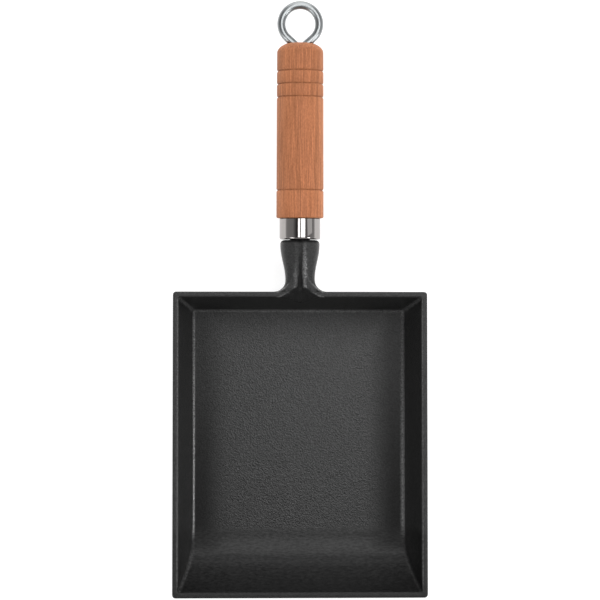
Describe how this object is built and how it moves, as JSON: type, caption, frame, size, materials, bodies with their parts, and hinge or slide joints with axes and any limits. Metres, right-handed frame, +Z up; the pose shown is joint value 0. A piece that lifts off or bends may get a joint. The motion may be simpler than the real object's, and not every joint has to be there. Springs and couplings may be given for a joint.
{
  "type": "cast iron omelette pan",
  "caption": "Rectangular cast iron omelette pan with a sloped far wall, a cast neck and a turned wooden grip, clamped on by an eye bolt whose loop hangs the pan.",
  "frame": {"origin": "on the flat underside of the pan, below the middle of the rim", "axes": "+Z up, +Y out along the handle, +X to the right of a person who looks along +Y"},
  "size_m": [0.1556, 0.3649, 0.0479],
  "materials": {
    "cast_iron": "dark seasoned iron with a fine pebbled casting skin, half matt",
    "chrome": "bright plated steel",
    "beech": "reddish brown beech with fine lengthwise grain, satin lacquer",
    "steel": "plain zinc grey steel"
  },
  "bodies": {
    "pan": {"pan_casting": "cast_iron", "ferrule": "chrome", "wooden_grip": "beech"},
    "washer": {"seat_washer": "steel"},
    "eye": {"eye_bolt": "chrome"}
  },
  "joints": [
    {"name": "eye_bolt_travel", "type": "slide", "parent": "pan", "child": "washer", "axis": [0, 0.9986, 0.0523], "range_m": [0, 0.001]},
    {"name": "eye_bolt_turn", "type": "hinge", "parent": "washer", "child": "eye", "pos_m": [0, 0.24209, 0.03379], "axis": [0, 0.9986, 0.0523], "range_deg": [0, 450]}
  ],
  "couplings": [
    {"joint": "eye_bolt_turn", "follows": "eye_bolt_travel", "rad_per_m": 7854}
  ]
}
